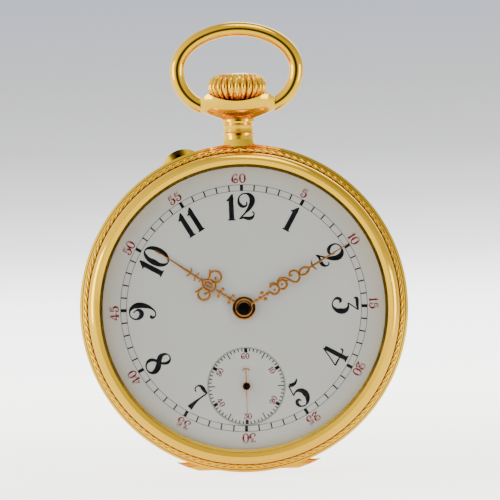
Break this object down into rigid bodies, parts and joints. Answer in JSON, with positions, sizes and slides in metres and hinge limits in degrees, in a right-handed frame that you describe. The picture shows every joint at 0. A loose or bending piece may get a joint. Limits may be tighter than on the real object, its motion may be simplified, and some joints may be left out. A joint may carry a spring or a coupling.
{
  "type": "open face pocket watch",
  "caption": "Upright open-face pocket watch with a white dial, small seconds at 6, pierced hands, hinged back and inner cover, turning crown and swinging oval bow",
  "frame": {"origin": "centre of the back cover's flat outer face", "axes": "+X to 3 o'clock, +Z to the pendant and 12 o'clock, +Y out of the back; the dial looks to -Y"},
  "size_m": [0.048, 0.0109, 0.0659],
  "materials": {
    "polished_gold": null,
    "engraved_gold": null,
    "gilt_brass": "frosted gilt brass",
    "rose_gold": "polished rose gold hands",
    "white_enamel": "fired white enamel on copper",
    "watch_glass": "clear mineral glass",
    "polished_steel": "polished hardened steel",
    "blued_steel": "heat blued steel",
    "ruby": "polished synthetic ruby"
  },
  "bodies": {
    "case": {"case_middle": "engraved_gold", "pendant": "polished_gold", "set_pin_guard": "polished_gold", "back_hinge_pin": "polished_gold", "cuvette_hinge_pin": "polished_gold", "main_plate": "gilt_brass", "barrel_bridge": "gilt_brass", "train_bridge": "gilt_brass", "balance_cock": "gilt_brass", "pallet_bridge": "gilt_brass", "bridge_screws": "polished_steel", "case_screws": "polished_steel", "jewels": "ruby", "hairspring": "blued_steel", "crown_wheel_core": "polished_steel", "click_spring": "polished_steel", "set_lever": "polished_steel", "dial": "white_enamel", "seconds_dial": "white_enamel", "dial_feet": "gilt_brass"},
    "bow": {"bow": "polished_gold"},
    "crown": {"crown": "polished_gold", "winding_stem": "polished_steel", "winding_pinion": "polished_steel", "sliding_pinion": "polished_steel"},
    "set_pusher": {"set_pusher": "polished_steel"},
    "bezel": {"bezel": "polished_gold", "crystal": "watch_glass"},
    "back_cover": {"back_cover": "polished_gold"},
    "cuvette": {"cuvette": "polished_gold"},
    "minute_hand": {"minute_hand": "rose_gold", "cannon_pinion": "polished_steel", "center_wheel": "gilt_brass"},
    "hour_hand": {"hour_hand": "rose_gold", "hour_wheel": "gilt_brass"},
    "minute_wheel": {"minute_wheel": "gilt_brass"},
    "third_wheel": {"third_wheel": "gilt_brass"},
    "seconds_hand": {"seconds_hand": "rose_gold", "fourth_wheel": "gilt_brass"},
    "escape_wheel": {"escape_wheel": "polished_steel"},
    "pallet_fork": {"pallet_fork": "polished_steel", "pallet_stones": "ruby"},
    "balance": {"balance_wheel": "gilt_brass", "balance_screws": "gilt_brass", "balance_staff": "polished_steel", "roller": "polished_steel"},
    "barrel": {"barrel": "gilt_brass", "barrel_cover": "gilt_brass", "mainspring": "blued_steel"},
    "ratchet": {"ratchet_wheel": "polished_steel", "barrel_arbor": "polished_steel", "ratchet_screw": "polished_steel"},
    "crown_wheel": {"crown_wheel": "polished_steel"},
    "click": {"click": "polished_steel"},
    "regulator": {"regulator": "polished_steel"}
  },
  "joints": [
    {"name": "bow_swing", "type": "hinge", "parent": "case", "child": "bow", "pos_m": [0, -0.0053, 0.03005], "axis": [1, 0, 0], "range_deg": [-95, 95]},
    {"name": "crown_turn", "type": "hinge", "parent": "case", "child": "crown", "pos_m": [0, -0.0053, 0.024], "axis": [0, 0, 1], "continuous": true},
    {"name": "set_pin_press", "type": "slide", "parent": "case", "child": "set_pusher", "axis": [0.3714, 0, -0.9285], "range_m": [0, 0.0008], "stiffness_N_per_m": 400, "springref_m": -0.0004},
    {"name": "bezel_lift", "type": "slide", "parent": "case", "child": "bezel", "axis": [0, -1, 0], "range_m": [0, 0.012]},
    {"name": "back_open", "type": "hinge", "parent": "case", "child": "back_cover", "pos_m": [0, -0.0024, -0.02315], "axis": [-1, 0, 0], "range_deg": [0, 110]},
    {"name": "cuvette_open", "type": "hinge", "parent": "case", "child": "cuvette", "pos_m": [0, -0.00245, -0.02145], "axis": [-1, 0, 0], "range_deg": [0, 82.5]},
    {"name": "minute_hand_turn", "type": "hinge", "parent": "case", "child": "minute_hand", "pos_m": [0, -0.008, 0], "axis": [0, 1, 0], "continuous": true},
    {"name": "hour_hand_turn", "type": "hinge", "parent": "case", "child": "hour_hand", "pos_m": [0, -0.008, 0], "axis": [0, 1, 0], "continuous": true},
    {"name": "minute_wheel_turn", "type": "hinge", "parent": "case", "child": "minute_wheel", "pos_m": [0.0036, -0.007, 0], "axis": [0, 1, 0], "continuous": true},
    {"name": "third_wheel_turn", "type": "hinge", "parent": "case", "child": "third_wheel", "pos_m": [0.00225, -0.0042, -0.00608], "axis": [0, 1, 0], "continuous": true},
    {"name": "seconds_hand_turn", "type": "hinge", "parent": "case", "child": "seconds_hand", "pos_m": [0, -0.008, -0.0114], "axis": [0, 1, 0], "continuous": true},
    {"name": "escape_wheel_turn", "type": "hinge", "parent": "case", "child": "escape_wheel", "pos_m": [-0.00404, -0.005, -0.00916], "axis": [0, 1, 0], "continuous": true},
    {"name": "barrel_turn", "type": "hinge", "parent": "case", "child": "barrel", "pos_m": [0.00772, -0.0048, 0.00648], "axis": [0, 1, 0], "continuous": true},
    {"name": "pallet_fork_swing", "type": "hinge", "parent": "case", "child": "pallet_fork", "pos_m": [-0.00676, -0.005, -0.00766], "axis": [0, 1, 0], "range_deg": [-4.5, 4.5]},
    {"name": "balance_swing", "type": "hinge", "parent": "case", "child": "balance", "pos_m": [-0.0112, -0.0042, -0.0052], "axis": [0, 1, 0], "range_deg": [-270, 270], "stiffness_Nm_per_rad": 0.0000004},
    {"name": "crown_wheel_turn", "type": "hinge", "parent": "case", "child": "crown_wheel", "pos_m": [0, -0.0025, 0.012], "axis": [0, 1, 0], "continuous": true},
    {"name": "ratchet_turn", "type": "hinge", "parent": "case", "child": "ratchet", "pos_m": [0.00772, -0.0025, 0.00648], "axis": [0, 1, 0], "continuous": true},
    {"name": "click_swing", "type": "hinge", "parent": "case", "child": "click", "pos_m": [0.01407, -0.0025, 0.00188], "axis": [0, 1, 0], "range_deg": [-2, 12]},
    {"name": "regulator_turn", "type": "hinge", "parent": "case", "child": "regulator", "pos_m": [-0.0112, -0.0026, -0.0052], "axis": [0, 1, 0], "range_deg": [-12, 12]}
  ],
  "couplings": [
    {"joint": "hour_hand_turn", "follows": "minute_hand_turn", "ratio": 0.083333},
    {"joint": "minute_wheel_turn", "follows": "minute_hand_turn", "ratio": -0.33333},
    {"joint": "third_wheel_turn", "follows": "minute_hand_turn", "ratio": -8},
    {"joint": "seconds_hand_turn", "follows": "minute_hand_turn", "ratio": 60},
    {"joint": "escape_wheel_turn", "follows": "minute_hand_turn", "ratio": -600},
    {"joint": "barrel_turn", "follows": "minute_hand_turn", "ratio": -0.14286},
    {"joint": "crown_wheel_turn", "follows": "crown_turn", "ratio": 0.5},
    {"joint": "ratchet_turn", "follows": "crown_turn", "ratio": -0.33333},
    {"joint": "cuvette_open", "follows": "back_open", "ratio": 0.75}
  ]
}
